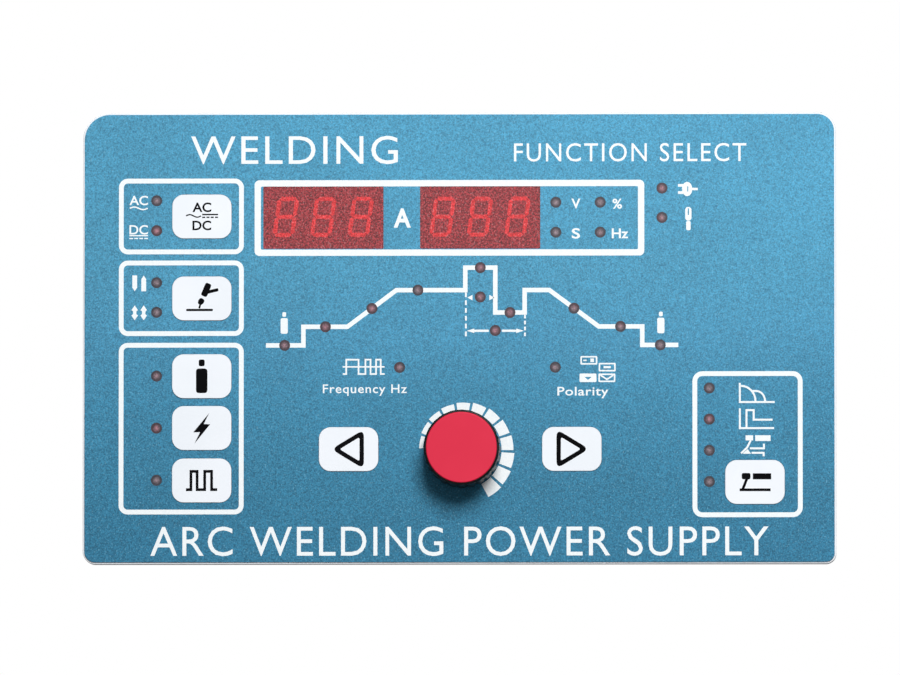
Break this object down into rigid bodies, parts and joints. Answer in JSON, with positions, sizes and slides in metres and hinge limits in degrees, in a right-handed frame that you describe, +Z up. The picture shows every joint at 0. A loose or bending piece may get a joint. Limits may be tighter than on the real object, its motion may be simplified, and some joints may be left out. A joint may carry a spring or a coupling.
{
  "type": "welder control panel",
  "caption": "Flat rectangular control panel of an arc welder: red digit windows, white press keys, indicator lights on a printed current curve, and a round dial with a red cap.",
  "frame": {"origin": "the middle of the lower run of the rim's rear face, where the panel seats on the machine", "axes": "+X along the panel's width, to the right as the user sees it; +Y backwards into the machine, normal to the rear seat; +Z up"},
  "size_m": [0.2512, 0.0352, 0.1507],
  "materials": {
    "tray": "satin moulded white",
    "film": "fine-textured metallic blue print on polyester",
    "filter": "fine-textured transparent red",
    "display": "dark red face with lighter digit segments",
    "board": "green solder mask over glass-fibre laminate",
    "key": "smooth satin white",
    "switch_case": "moulded black",
    "plunger": "moulded black",
    "dial": "satin moulded black",
    "dial_cap": "satin red",
    "steel": "nickel-plated",
    "brass": "turned brass",
    "led": "water-clear epoxy",
    "black_plastic": "moulded black",
    "capacitor": "shrink sleeve"
  },
  "bodies": {
    "panel": {"fascia_tray": "tray", "overlay_film": "film", "left_display_filter": "filter", "right_display_filter": "filter", "left_display": "display", "right_display": "display", "control_board": "board", "encoder_body": "steel", "encoder_washer": "steel", "encoder_nut": "steel", "pin_header": "black_plastic", "driver_chip": "black_plastic", "smoothing_capacitor": "capacitor", "board_spacer_1": "brass", "board_screw_1": "steel", "mounting_stud_1": "steel", "board_spacer_2": "brass", "board_screw_2": "steel", "mounting_stud_2": "steel", "board_spacer_3": "brass", "board_screw_3": "steel", "mounting_stud_3": "steel", "board_spacer_4": "brass", "board_screw_4": "steel", "mounting_stud_4": "steel", "ac_dc_switch": "switch_case", "torch_switch": "switch_case", "gas_switch": "switch_case", "arc_start_switch": "switch_case", "pulse_switch": "switch_case", "left_switch": "switch_case", "right_switch": "switch_case", "process_switch": "switch_case", "ac_dc_leds": "led", "torch_leds": "led", "function_leds": "led", "unit_leds": "led", "status_leds": "led", "cycle_leds": "led", "setting_leds": "led", "mode_leds": "led"},
    "ac_dc_button": {"ac_dc_key": "key", "ac_dc_plunger": "plunger"},
    "torch_button": {"torch_key": "key", "torch_plunger": "plunger"},
    "gas_button": {"gas_key": "key", "gas_plunger": "plunger"},
    "arc_start_button": {"arc_start_key": "key", "arc_start_plunger": "plunger"},
    "pulse_button": {"pulse_key": "key", "pulse_plunger": "plunger"},
    "left_button": {"left_key": "key", "left_plunger": "plunger"},
    "right_button": {"right_key": "key", "right_plunger": "plunger"},
    "process_button": {"process_key": "key", "process_plunger": "plunger"},
    "dial": {"encoder_shaft": "steel", "dial_knob": "dial", "dial_cap": "dial_cap"}
  },
  "joints": [
    {"name": "ac_dc_press", "type": "slide", "parent": "panel", "child": "ac_dc_button", "axis": [0, 1, 0], "range_m": [0, 0.0005], "stiffness_N_per_m": 3000, "springref_m": -0.0002},
    {"name": "torch_press", "type": "slide", "parent": "panel", "child": "torch_button", "axis": [0, 1, 0], "range_m": [0, 0.0005], "stiffness_N_per_m": 3000, "springref_m": -0.0002},
    {"name": "gas_press", "type": "slide", "parent": "panel", "child": "gas_button", "axis": [0, 1, 0], "range_m": [0, 0.0005], "stiffness_N_per_m": 3000, "springref_m": -0.0002},
    {"name": "arc_start_press", "type": "slide", "parent": "panel", "child": "arc_start_button", "axis": [0, 1, 0], "range_m": [0, 0.0005], "stiffness_N_per_m": 3000, "springref_m": -0.0002},
    {"name": "pulse_press", "type": "slide", "parent": "panel", "child": "pulse_button", "axis": [0, 1, 0], "range_m": [0, 0.0005], "stiffness_N_per_m": 3000, "springref_m": -0.0002},
    {"name": "left_press", "type": "slide", "parent": "panel", "child": "left_button", "axis": [0, 1, 0], "range_m": [0, 0.0005], "stiffness_N_per_m": 3000, "springref_m": -0.0002},
    {"name": "right_press", "type": "slide", "parent": "panel", "child": "right_button", "axis": [0, 1, 0], "range_m": [0, 0.0005], "stiffness_N_per_m": 3000, "springref_m": -0.0002},
    {"name": "process_press", "type": "slide", "parent": "panel", "child": "process_button", "axis": [0, 1, 0], "range_m": [0, 0.0005], "stiffness_N_per_m": 3000, "springref_m": -0.0002},
    {"name": "dial_turn", "type": "hinge", "parent": "panel", "child": "dial", "pos_m": [0.001, -0.01, 0.03705], "axis": [0, 1, 0], "continuous": true}
  ]
}
